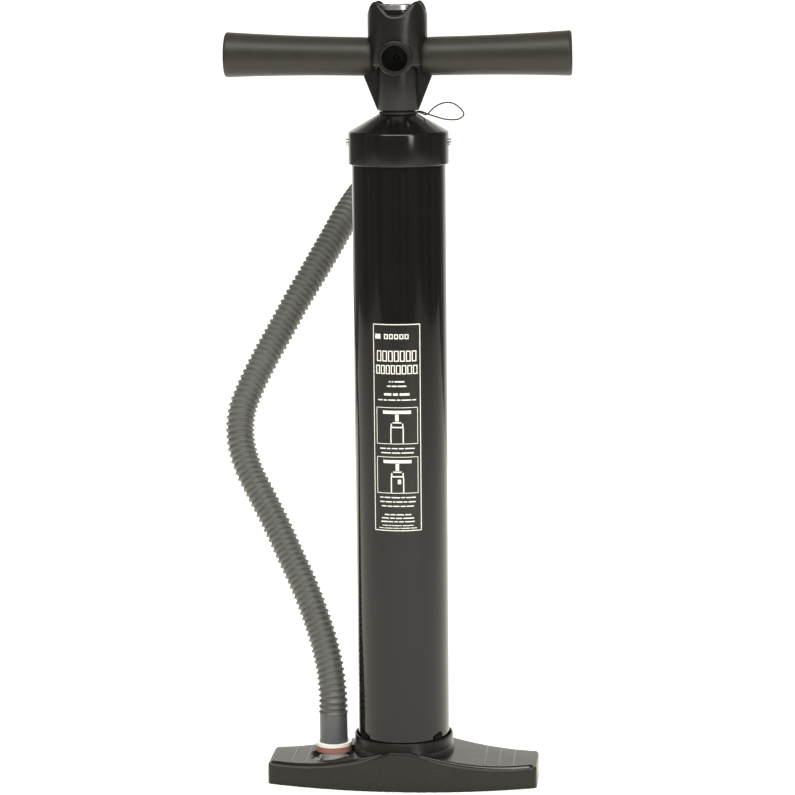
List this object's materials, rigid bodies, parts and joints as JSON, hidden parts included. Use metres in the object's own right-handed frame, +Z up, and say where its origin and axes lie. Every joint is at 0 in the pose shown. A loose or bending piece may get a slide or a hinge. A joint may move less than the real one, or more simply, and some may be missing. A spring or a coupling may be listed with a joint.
{
  "type": "double action hand pump",
  "caption": "Upright two-way hand pump: winged foot with hose port, round barrel with label, domed cap, T-handle with pressure gauge, ribbed hose.",
  "frame": {"origin": "on the floor under the pump axis", "axes": "+Z up along the barrel, -Y towards the user, the side with the label, +X along the right grip"},
  "size_m": [0.2955, 0.5977, 0.6435],
  "materials": {
    "foot_plastic": "fine-grained moulded dark grey plastic",
    "barrel_plastic": "smooth glossy black tube",
    "cap_plastic": "glossy black moulding",
    "label_film": "dark printed film with plain bars and pictograms",
    "grip_plastic": "fine-grained matte grey plastic",
    "hub_plastic": "satin dark grey moulding",
    "white_plastic": "smooth white nylon",
    "clear_grey": "grey moulded elastomer",
    "hose_plastic": "grey corrugated flexible hose",
    "gasket_rubber": "soft salmon rubber",
    "black_rubber": "soft black rubber",
    "red_plastic": "red plug",
    "steel": "bright steel",
    "rod_metal": "drawn tube, polished",
    "nylon": "natural nylon",
    "capsule_brass": "pressed capsule",
    "dial_print": "white dial with plain tick marks",
    "lens": "clear lens"
  },
  "bodies": {
    "pump_body": {"base_foot": "foot_plastic", "duct_cover": "foot_plastic", "base_screws": "steel", "barrel_tube": "barrel_plastic", "barrel_seal": "black_rubber", "barrel_locks": "cap_plastic", "label": "label_film", "intake_retainer": "nylon", "centre_pipe": "rod_metal", "outlet_cage": "nylon", "port_socket": "cap_plastic", "hose_cuff": "clear_grey", "hose": "hose_plastic", "end_cuff": "clear_grey", "end_nozzle": "white_plastic", "top_cap": "cap_plastic", "cap_screws": "steel", "cap_seal": "black_rubber", "rod_bush": "nylon", "rod_seal": "black_rubber", "seal_retainer": "cap_plastic", "intake_flap": "black_rubber", "flap_rivet": "nylon", "tether_strap": "black_rubber", "tether": "black_rubber", "tether_eye": "black_rubber", "bump_stop": "black_rubber"},
    "piston": {"piston_body": "nylon", "piston_seals": "black_rubber"},
    "handle": {"rod_tube": "rod_metal", "rod_collar": "nylon", "rod_nut": "nylon", "pipe_seal": "black_rubber", "transfer_seat": "nylon", "handle_hub": "hub_plastic", "handle_bars": "rod_metal", "left_grip": "grip_plastic", "right_grip": "grip_plastic", "grip_caps": "grip_plastic", "port_ring": "hub_plastic", "gauge_case": "cap_plastic", "gauge_capsule": "capsule_brass", "gauge_dial": "dial_print", "gauge_bezel": "steel", "gauge_lens": "lens"},
    "transfer_valve": {"transfer_disc": "black_rubber"},
    "port_valve": {"port_poppet": "cap_plastic"},
    "needle": {"gauge_needle": "red_plastic"},
    "intake_valve": {"intake_disc": "black_rubber"},
    "outlet_valve": {"outlet_disc": "black_rubber"},
    "release_plug": {"release_plug": "red_plastic", "plug_seal": "black_rubber"},
    "coupling_nut": {"hose_nut": "white_plastic", "nut_gasket": "gasket_rubber"}
  },
  "joints": [
    {"name": "stroke", "type": "slide", "parent": "pump_body", "child": "piston", "axis": [0, 0, 1], "range_m": [0, 0.46]},
    {"name": "handle_swivel", "type": "hinge", "parent": "piston", "child": "handle", "pos_m": [0, 0, 0], "axis": [0, 0, 1], "continuous": true},
    {"name": "transfer_valve_lift", "type": "slide", "parent": "handle", "child": "transfer_valve", "axis": [0, 0, 1], "range_m": [0, 0.0025]},
    {"name": "port_valve_push", "type": "slide", "parent": "handle", "child": "port_valve", "axis": [0, 1, 0], "range_m": [0, 0.003], "stiffness_N_per_m": 300},
    {"name": "needle_turn", "type": "hinge", "parent": "handle", "child": "needle", "pos_m": [0, 0, 0.636], "axis": [0, 0, 1], "range_deg": [-270, 0], "stiffness_Nm_per_rad": 0.0002},
    {"name": "intake_valve_lift", "type": "slide", "parent": "pump_body", "child": "intake_valve", "axis": [0, 0, 1], "range_m": [0, 0.0018]},
    {"name": "outlet_valve_lift", "type": "slide", "parent": "pump_body", "child": "outlet_valve", "axis": [0, 0, 1], "range_m": [0, 0.0025]},
    {"name": "release_plug_pull", "type": "slide", "parent": "pump_body", "child": "release_plug", "axis": [0, 0.5126, 0.8586], "range_m": [0, 0.008]},
    {"name": "coupling_turn", "type": "hinge", "parent": "pump_body", "child": "coupling_nut", "pos_m": [-0.059, 0, 0.027], "axis": [0, 0, 1], "range_deg": [0, 90]}
  ]
}
